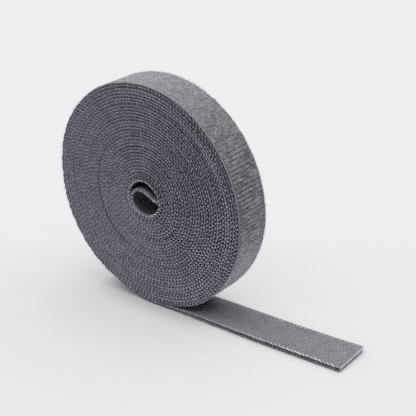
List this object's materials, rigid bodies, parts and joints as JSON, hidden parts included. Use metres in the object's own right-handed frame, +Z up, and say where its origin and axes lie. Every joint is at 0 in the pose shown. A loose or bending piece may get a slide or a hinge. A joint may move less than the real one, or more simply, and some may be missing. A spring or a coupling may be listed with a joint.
{
  "type": "hook and loop tape roll",
  "caption": "Roll of back-to-back hook and loop tape: a hook strip and a loop strip bonded together and wound in a spiral, standing on its rim with the free end laid flat.",
  "frame": {"origin": "middle of the object's base: half way along the tail and the roll, half way across the tape, on the surface that it stands on", "axes": "+X along the laid-out tail, towards its cut end; +Y across the tape, from the near side of the roll to the far side; +Z up"},
  "size_m": [0.1614, 0.02, 0.1108],
  "materials": {
    "hook_weave": "grey woven ground with rows of fine hooks, slightly lustrous",
    "loop_pile": "grey brushed loop pile, matt and fuzzy"
  },
  "bodies": {
    "root": {"hook_strip": "hook_weave", "loop_strip": "loop_pile"}
  },
  "joints": []
}
